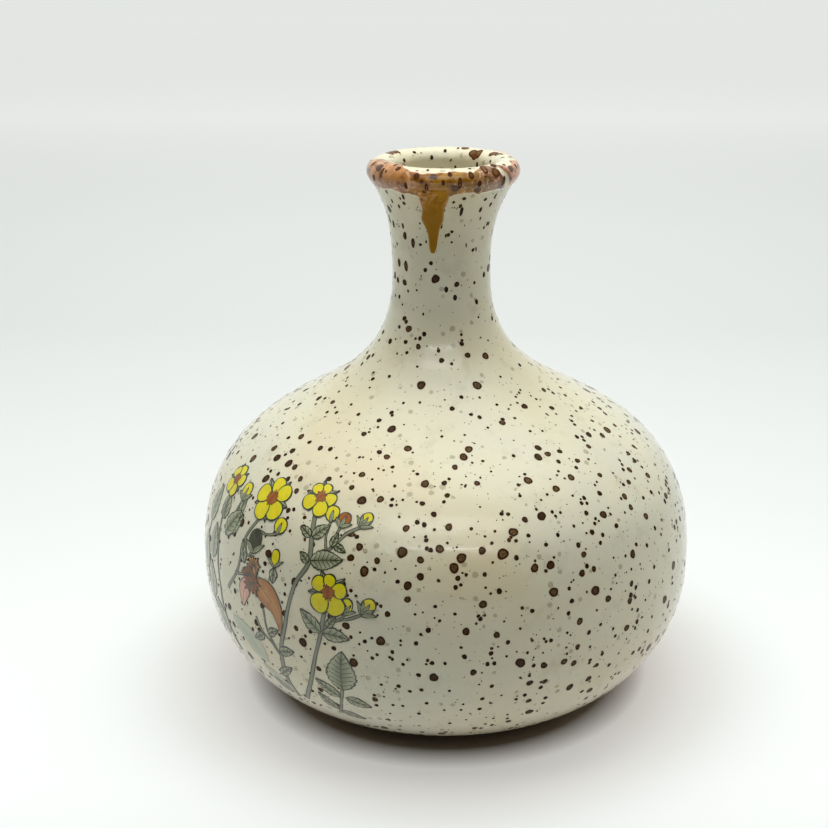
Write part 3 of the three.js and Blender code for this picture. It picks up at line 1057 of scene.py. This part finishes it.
class Sprig:
    """A part of the transfer: filled shapes with drawn lines over them, gathered into one piece. They
    are given on a sheet laid on the skin at a place, with x to the right and y up the wall, in mm.
    Each is a closed solid that lies just over the ones before."""

    def __init__(self, kind, number, place):
        self.kind, self.number = kind, number
        self.azimuth, self.along = math.radians(place[0]), SKIN.at_height(place[1] * MM)
        self.lift = KINDS[kind][2] + number % 3 * NEIGHBOUR_STEP
        self.points, self.normals, self.tones, self.faces, self.inks = [], [], [], [], []
        self.count = 0

    def strip(self, spine, half_widths, lift, ink, columns=3):
        """A strip along a spine. Its tone is 0 on the spine and 1 at its sides."""
        ring = np.concatenate([np.linspace(-1, 1, columns), [1, -1]])
        lifts = np.concatenate([np.full(columns, lift), [UNDER_MARK, UNDER_MARK]])
        rows, count = len(spine), len(ring)
        across = sideways(spine) * half_widths[:, None]
        sheet = MM * (spine[:, None, :] + across[:, None, :] * ring[:, None]).reshape(-1, 2)
        along = self.along + sheet[:, 1]
        azimuth = self.azimuth + sheet[:, 0] / SKIN.at(along)[0]
        faces = rod_faces(rows, count)
        self.points.append(on_skin(azimuth, along, np.tile(lifts, rows)))
        self.normals.append(skin_normal(azimuth, along))
        self.tones.append(np.tile(np.abs(ring), rows))
        self.faces += [tuple(self.count + corner for corner in face) for face in faces]
        self.inks += [ink] * len(faces)
        self.count += len(sheet)

    def fill(self, spine, widths, ink, columns=9):
        self.lift += LAYER_STEP
        self.strip(spine, widths, self.lift, ink, columns)

    def line(self, spine, width=LINE_WIDTH, ink=LINE_INK):
        share = np.linspace(0, TAU, len(spine))
        widths = width / 2 * (1 + 0.3 * np.sin(3 * share + spine[0, 0]))
        self.strip(spine, widths, self.lift + LINE_STEP, ink)

    def shape(self, spine, widths, ink, columns=9, outline=LINE_WIDTH):
        self.fill(spine, widths, ink, columns)
        self.line(edge_of(spine, widths), outline)

    def leaf(self, length, width, turn, curl=0.0, teeth=1, base=(0, 0)):
        spine, widths = blade(length, width, curl, teeth)
        self.shape(turned(spine, turn, base), widths, GREEN_INK)
        self.line(turned(spine, turn, base), MIDRIB)
        for vein in range(1, teeth):
            start = spine[int(len(spine) * vein / (teeth + 1))]
            ahead = min(int(len(spine) * (vein + 0.9) / (teeth + 1)), len(spine) - 1)
            for side in (-1, 1):
                end = spine[ahead] + np.array([side * widths[ahead] * 0.82, 0])
                self.line(turned(straight(start, end), turn, base), FINE_LINE)

    def finish(self):
        """Keeps the drawing, in place of its CAD node if it stands for one."""
        slot, stands_for, _ = KINDS[self.kind]
        nodes = [f"{self.kind}_print_{self.number}"] if self.number <= stands_for else []
        points, normals = np.concatenate(self.points), np.concatenate(self.normals)
        name, values = f"transfer_{self.kind}_{self.number}", {"tone": np.concatenate(self.tones)}
        piece = make_piece(name, points, self.faces, TRANSFER_MATERIALS, values, self.inks, normals)
        keep(piece, slot, *nodes)


def course(places):
    """A smooth spine that passes these places on the wall."""
    line = smooth_line(places, 12 * len(places))
    along = SKIN.at_height(line[:, 1] * MM)
    radius, _ = SKIN.at(along)
    return np.stack([np.radians(line[:, 0] - line[0, 0]) * radius, along - along[0]], axis=1) / MM


# Each flower: its place, size, turn and how far it nods, which makes its upper petals look short.
FLOWERS = [
    ((-67, 58.5), 8.2, 8, 0.1),
    ((-48.5, 59.5), 11.2, -14, 0.1),
    ((-34, 62.5), 8.4, 20, 0.2),
    ((-25.5, 45.5), 10.2, 150, 0.24),
]
PETALS = 5
HEART_DOTS = 9


def draw_flower(number, place, size, turn, nod):
    """Five round petals that overlap, over the tips of five sepals, about a ragged heart."""
    chance = random.Random(number)
    sprig = Sprig("flower", number, place)
    for petal in range(PETALS):
        sprig.leaf(0.5 * size, 0.17 * size, turn + (petal + 0.5) * 360 / PETALS, 0.05)
    for petal in range(PETALS):
        angle = turn + petal * 360 / PETALS + chance.uniform(-8, 8)
        share = 1 - nod * math.cos(math.radians(angle))
        base = turned(np.array([0, 0.09 * size]), angle)
        length = size * share * chance.uniform(0.37, 0.42)
        width = size * share * chance.uniform(0.36, 0.4)
        spine, widths = egg(length, width, 0.3)
        sprig.shape(turned(spine, angle, base), widths, YELLOW_INK)
    spine, widths = egg(0.27 * size, 0.27 * size)
    widths = widths * (1 + 0.12 * np.sin(np.linspace(0, 17, len(widths))))
    sprig.shape(turned(spine - [0, 0.135 * size], turn + 30), widths, HEART_INK, 7, FINE_LINE)
    for dot in range(HEART_DOTS):
        angle = turn + dot * 360 / HEART_DOTS + chance.uniform(-9, 9)
        spine, widths = egg(0.5, 0.42, count=8)
        away = turned(np.array([0, 0.13 * size * chance.uniform(0.85, 1.15)]), angle)
        sprig.fill(turned(spine, angle, away), widths, HEART_INK, 3)
    sprig.finish()


# Each bud: the place of its base, length, width, turn, ink and how many pointed sepals hold it.
BUDS = [
    ((-42, 54), 3.7, 3.6, 5, YELLOW_INK, 1),
    ((-28.5, 59), 3.6, 3.3, -8, YELLOW_INK, 1),
    ((-20.5, 59), 3.7, 2.7, 26, YELLOW_INK, 5),
    ((-17.5, 42), 4.2, 3.2, 33, YELLOW_INK, 5),
    ((-48, 48.5), 5.1, 4.2, -6, LINE_INK, 2),
    ((-40.5, 47.5), 3.8, 2.4, -3, YELLOW_INK, 2),
    ((-59, 56.5), 4.2, 3.6, -8, YELLOW_INK, 3),
    ((-25.5, 58.5), 3.3, 3.0, 12, HEART_INK, 3),
    ((-21.5, 41.5), 3.6, 2.7, 14, YELLOW_INK, 4),
]
SEPAL_SPREAD = 84


def draw_bud(number, place, length, width, turn, ink, sepals):
    sprig = Sprig("bud", number, place)
    spine, widths = egg(length, width, 0.1)
    sprig.shape(turned(spine, turn), widths, ink)
    for sepal in range(sepals):
        lean_out = (sepal - (sepals - 1) / 2) * SEPAL_SPREAD / max(1, sepals - 1)
        spine, widths = blade(length * 0.8, width * 0.27, 0.005 * lean_out, 1, 14)
        spine = turned(spine, turn + lean_out, turned(np.array([0, -0.08 * length]), turn))
        sprig.shape(spine, widths, GREEN_INK, 3, FINE_LINE)
    sprig.finish()


# Each leaf: the place of its base, length, width, turn, curl and teeth.
LEAVES = [
    ((-23, 22), 10.6, 7.0, 3, 0.03, 8),
    ((-24, 19.5), 6.9, 3.0, -58, 0.08, 5),
    ((-60, 23), 9.0, 5.0, -22, -0.1, 5),
    ((-22.5, 19.5), 5.9, 3.0, 112, -0.08, 4),
    ((-26, 14.5), 6.4, 2.5, -42, 0.08, 4),
    ((-25.5, 14), 5.8, 2.3, 112, -0.1, 3),
    ((-31, 51), 7.8, 4.2, 73, 0.10, 7),
    ((-32, 55.5), 4.8, 2.7, 40, 0.10, 4),
    ((-32.5, 55.5), 3.7, 2.0, -58, -0.10, 3),
    ((-31.5, 50.5), 3.2, 1.9, -50, -0.10, 3),
    ((-26.5, 54.5), 3.4, 1.7, 8, 0.10, 3),
    ((-26, 55), 3.2, 1.6, 104, 0.10, 3),
    ((-27, 36), 6.8, 3.3, -57, 0.10, 4),
    ((-26.5, 36), 6.4, 3.2, 86, 0.12, 4),
    ((-25.5, 37.5), 3.6, 1.8, 30, 0.10, 3),
    ((-38.5, 27.5), 4.6, 2.4, 66, 0.10, 3),
    ((-41.5, 31), 3.8, 1.9, 52, 0.10, 2),
    ((-43, 30.5), 4.2, 2.0, -130, 0.10, 3),
    ((-40.5, 47), 3.4, 2.3, 176, 0.05, 2),
    ((-61, 48), 8.0, 4.6, 22, 0.10, 5),
    ((-64, 50.5), 6.5, 4.2, -24, 0.10, 4),
    ((-57.5, 52), 7.0, 2.4, -6, 0.05, 3),
    ((-66.5, 40), 8.5, 5.0, -10, 0.10, 5),
    ((-66, 30), 9.0, 5.4, -18, 0.10, 5),
    ((-72, 47), 9.0, 5.6, -8, 0.10, 5),
    ((-72, 35), 9.5, 5.8, -12, 0.10, 5),
    ((-59, 49), 6.4, 3.6, 24, 0.10, 4),
    ((-40, 20.5), 5.6, 2.2, 44, 0.10, 3),
    ((-39, 15), 6.0, 2.6, -60, 0.10, 3),
    ((-50.5, 45), 5.4, 2.2, -30, 0.10, 3),
]


def draw_leaf(number, place, length, width, turn, curl, teeth):
    sprig = Sprig("leaf", number, place)
    sprig.leaf(length, width, turn, curl, teeth)
    sprig.finish()


# Each stem: its width and the places it passes.
STEMS = [
    (1.0, [(-38, 14), (-38.5, 19.5), (-38, 28), (-36.5, 34.5), (-35.5, 39.5), (-34, 45.5),
           (-31.5, 50), (-31.5, 53), (-33.5, 60)]),
    (0.9, [(-35, 14.5), (-31, 22), (-28.5, 30), (-27, 36), (-26, 42)]),
    (0.7, [(-57, 36.5), (-53, 42.5), (-52, 50.5), (-49, 56)]),
    (0.5, [(-47.5, 45), (-50.5, 42.5), (-54, 41.5)]),
    (0.7, [(-31, 51), (-27.5, 53.5), (-25.5, 55.5), (-23.5, 57.5), (-20.5, 59)]),
    (0.5, [(-27.5, 53.5), (-28.5, 56), (-28.5, 59)]),
    (0.5, [(-25.5, 55.5), (-26, 57), (-25.5, 58.5)]),
    (0.5, [(-23.5, 39.5), (-22, 40.5), (-21.5, 41.5)]),
    (0.6, [(-26.5, 37), (-23.5, 39.5), (-20.5, 40.5), (-17.5, 42)]),
    (0.6, [(-52, 50), (-50, 47), (-48, 48.5)]),
    (0.5, [(-47.5, 53), (-45, 53), (-42, 54)]),
    (0.7, [(-26, 13), (-24.5, 17), (-23, 22)]),
    (0.55, [(-62.5, 49), (-60, 53), (-59, 56.5)]),
    (0.6, [(-56, 20), (-60, 30), (-63.5, 42), (-66, 54)]),
    (0.45, [(-45.5, 34), (-43.5, 31), (-40.5, 29), (-38.5, 26.5)]),
    (0.4, [(-43, 37), (-42, 32.5), (-39, 27.5)]),
    (0.45, [(-41.5, 44), (-41, 46), (-40.5, 47.5)]),
    (0.5, [(-62, 26), (-70, 33), (-72.5, 40), (-72, 48)]),
]


def draw_stem(number, width, places):
    sprig = Sprig("stem", number, places[0])
    spine = course(places)
    widths = width / 2 * (1 + 0.12 * np.sin(np.linspace(0, 9, len(spine))))
    sprig.fill(spine, widths, STEM_INK, 3)
    outline = edge_of(spine, widths)
    half = len(spine)
    sprig.line(outline[:half], FINE_LINE)
    sprig.line(outline[half:2 * half], FINE_LINE)
    sprig.finish()


# The petals of the blown flower: an ink, then the half widths of each at the places it passes.
PETAL_COURSES = [
    (BLUSH_INK, [1.0, 2.1, 1.4, 0.3], [(-48.5, 42), (-49.5, 39.5), (-50, 37), (-50, 35)]),
    (ORANGE_INK, [0.8, 2.6, 2.7, 1.9, 0.9, 0.1],
     [(-45.5, 43), (-43.5, 41.5), (-41, 40), (-39, 38), (-38, 35), (-37.5, 32.5)]),
    (HEART_INK, [0.3, 0.7, 0.5, 0.1], [(-43.5, 40.5), (-42, 39), (-40, 37.5), (-39, 36.5)]),
]


def draw_petal(number, ink, half_widths, places):
    sprig = Sprig("petal", number, places[0])
    spine = course(places)
    widths = smooth_line(half_widths, len(spine))
    sprig.shape(spine, widths, ink, 13, FINE_LINE)
    sprig.line(spine[4:-6], FINE_LINE, HEART_INK)
    sprig.finish()


# Pale leaves without a line: the half widths of each at the places it passes.
WASHES = [
    ([0.8, 2.6, 2.8, 0.5], [(-55, 30), (-50, 28), (-46, 25), (-43.5, 22.5)]),
    ([0.4, 1.8, 1.9, 0.4], [(-46, 21), (-43, 18.5), (-40.5, 16.5), (-38.5, 14.5)]),
]


def draw_wash(number, half_widths, places):
    sprig = Sprig("wash", number, places[0])
    spine = course(places)
    sprig.fill(spine, smooth_line(half_widths, len(spine)), WASH_INK, 9)
    sprig.finish()


# Ragged fans of stamens over the blown flower: the place of each, its length and spread in degrees.
TUFTS = [((-47, 45.5), 2.9, 300), ((-47, 41.5), 3.4, 320), ((-48.5, 42.5), 3.0, 200)]
STAMENS = 13


def draw_tuft(number, place, length, spread_angle):
    chance = random.Random(7 * number)
    sprig = Sprig("tuft", number, place)
    ink = ORANGE_INK if number == 1 else HEART_INK
    for stamen in range(STAMENS):
        angle = (stamen / (STAMENS - 1) - 0.5) * spread_angle
        spine, widths = blade(length * chance.uniform(0.65, 1.1), 0.9, 0.05, 1, 14)
        sprig.shape(turned(spine, angle), widths, ink, 3, FINE_LINE)
    sprig.finish()


def build_transfer():
    drawings = (
        (draw_stem, STEMS), (draw_wash, WASHES), (draw_leaf, LEAVES), (draw_petal, PETAL_COURSES),
        (draw_tuft, TUFTS), (draw_flower, FLOWERS), (draw_bud, BUDS),
    )
    for draw, items in drawings:
        for number, item in enumerate(items, 1):
            draw(number, *item)


# ------------------------------------------------------------------------------------------------
# Floor, light and camera.

# How bright the room is: before the vase, behind it, overhead and where the camera sees it.
ROOM_COLOUR = srgb(235, 243, 234)
ROOM_FRONT = 0.03
ROOM_BACK = 0.85
CEILING = 1.3
ROOM_SEEN = 0.94

# Where it brightens, on the way backwards and upwards, from -1 to 1.
ROOM_FADE = (-0.6, 0.9)
CEILING_FADE = (0.55, 0.98)

# Each light: its place, target, width, depth and power, whether the glaze mirrors it, and whether it
# lights the vase.
LIGHTS = {
    "softbox_above": ((0, 0.06, 0.66), (0, 0.02, 0), 0.8, 0.56, 6.8, False, True),
    "softbox_front": ((0, -0.42, 0.54), (0, -0.42, 0), 0.62, 0.34, 0.52, True, False),
    "light_bar": ((0, -0.30, 0.53), (0, -0.28, 0), 0.42, 0.11, 0.2, True, True),
    "softbox_edge": ((0, -0.575, 0.53), (0, -0.575, 0), 0.6, 0.012, 0.55, True, False),
}

# The paper glows with painted light, from a line in front of the vase backwards, and again well ahead of
# the vase: the glow at each distance from those lines, and how much of it there is at each distance from
# the vase. Close to the vase there is no glow, which paints its shadow, and just past that the glow is
# brightest.
PAPER_GLOW_START = -0.16
PAPER_AHEAD = 0.28
PAPER_AHEAD_RISE = 2.4
PAPER_REACH = 2.2
PAPER_GLOW_BACK = (
    (0.0, 0.0), (0.1, 0.24), (0.26, 0.12), (0.36, 0.1),
    (0.46, 0.11), (0.66, 0.27), (1.1, 0.55), (2.0, 0.6),
)
PAPER_GLOW = 2.2
PAPER_GLOW_AWAY = ((0.047, 0.0), (0.0495, 0.8), (0.058, 0.55), (0.07, 0.42))
# How dark the paper is painted in a band in front of the vase: painted shade, standing for the vase's
# shadow.
PAPER_FRONT_SHADE = 0.7
# The paper's colour at each distance from the vase: darker and warmer close to it, a painted contact
# shadow and painted warm shade, then plain paper further off.
PAPER_COLOUR_AND_CONTACT_SHADE = ((0.046, srgb(158, 144, 130)), (0.053, srgb(196, 191, 187)), (0.075, srgb(195, 197, 196)))


def build_floor():
    """Pale paper that glows with painted light, more towards the back, so that it is nearly white except
    close to the vase and in a band in front of it, where painted shade and a painted contact shadow darken
    it.
    """
    nodes = material_nodes("paper_floor")
    axes = nodes.node("ShaderNodeSeparateXYZ", Vector=nodes.place)
    ahead = nodes.times(nodes.math("ADD", axes.outputs["Y"], PAPER_AHEAD), -PAPER_AHEAD_RISE)
    back = nodes.math("MAXIMUM", nodes.math("SUBTRACT", axes.outputs["Y"], PAPER_GLOW_START), ahead)
    away = nodes.node("ShaderNodeVectorMath", Vector=nodes.place)
    away.operation = "LENGTH"
    shares = [nodes.math("DIVIDE", distance, PAPER_REACH) for distance in (back, away.outputs["Value"])]
    ramps = [
        nodes.ramp(share, *((distance / PAPER_REACH, bright) for distance, bright in glow))
        for share, glow in zip(shares, (PAPER_GLOW_BACK, PAPER_GLOW_AWAY))
    ]
    # Painted light: the paper glows, less in front of the vase and not at all close to it.
    nodes.feed(nodes.shader.inputs["Emission Color"], nodes.mix(1.0, *ramps, "MULTIPLY"))
    # Paper colour, with the painted contact shadow and warm shade close to the vase.
    paper_and_contact_shade = nodes.ramp(shares[1], *((distance / PAPER_REACH, tint) for distance, tint in PAPER_COLOUR_AND_CONTACT_SHADE))
    # Painted shade: the paper is darkened in a band in front of the vase.
    front_shade = nodes.ramp(shares[0], (0.0, PAPER_FRONT_SHADE), (0.05 / PAPER_REACH, 1.0))
    nodes.surface(nodes.mix(1.0, paper_and_contact_shade, front_shade, "MULTIPLY"), 0.9, Emission_Strength=PAPER_GLOW)
    bpy.ops.mesh.primitive_plane_add(size=40)
    floor = bpy.context.object
    floor.name = "paper_floor"
    floor.data.materials.append(nodes.owner)
    floor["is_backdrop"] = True


def add_light(name, place, target, width, depth, power, mirrored, lighting):
    """A soft rectangular light."""
    light = bpy.data.lights.new(name, "AREA")
    light.shape = "RECTANGLE"
    light.size, light.size_y = width, depth
    light.energy = power
    lamp = bpy.data.objects.new(name, light)
    lamp.location = place
    lamp.rotation_euler = (Vector(target) - Vector(place)).to_track_quat("-Z", "Y").to_euler()
    lamp.visible_glossy = mirrored
    lamp.visible_diffuse = lighting
    bpy.context.scene.collection.objects.link(lamp)


def build_world():
    """A pale room, brighter behind the vase than in front of it, that looks even to the camera. The
    glaze also shows a bright ceiling."""
    nodes = Nodes(bpy.data.worlds.new("room"), "Generated")
    axes = nodes.node("ShaderNodeSeparateXYZ", Vector=nodes.place)
    path = nodes.node("ShaderNodeLightPath")

    def shade(axis, low, high, start, end):
        made = nodes.node("ShaderNodeMapRange", Value=axes.outputs[axis], From_Min=low, From_Max=high)
        nodes.feed(made.inputs["To Min"], start)
        nodes.feed(made.inputs["To Max"], end)
        return made.outputs["Result"]

    ceiling = nodes.times(shade("Z", *CEILING_FADE, 0, CEILING), path.outputs["Is Glossy Ray"])
    room = nodes.math("ADD", shade("Y", *ROOM_FADE, ROOM_FRONT, ROOM_BACK), ceiling)
    seen = nodes.node("ShaderNodeMix", Factor=path.outputs["Is Camera Ray"], A=room, B=ROOM_SEEN)
    nodes.feed(nodes.shader.inputs["Color"], ROOM_COLOUR)
    nodes.feed(nodes.shader.inputs["Strength"], seen.outputs["Result"])
    bpy.context.scene.world = nodes.owner


CAMERA_PLACE = (0, -0.3371, 0.1889)
CAMERA_TILT = math.radians(70.15)
CAMERA_LENS = 63.7
CAMERA_SHIFT = -0.0386


def add_camera():
    camera = bpy.data.cameras.new("camera")
    camera.lens = CAMERA_LENS
    camera.shift_x = CAMERA_SHIFT
    view = bpy.data.objects.new("camera", camera)
    view.location = CAMERA_PLACE
    view.rotation_euler = (CAMERA_TILT, 0, 0)
    bpy.context.scene.collection.objects.link(view)
    bpy.context.scene.camera = view


def write_sizes():
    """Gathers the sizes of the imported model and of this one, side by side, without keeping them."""
    sizes = {
        name: [[float(value) for value in corner] for corner in box]
        for name, box in (("cad", cad_box), ("visual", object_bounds()))
    }


build_clay()
build_cream_coats()
build_rim()
build_run()
build_spots()
build_transfer()
build_floor()
build_world()
for light_name, light_settings in LIGHTS.items():
    add_light(light_name, *light_settings)
add_camera()
bpy.context.scene.view_settings.view_transform = "Standard"
write_sizes()
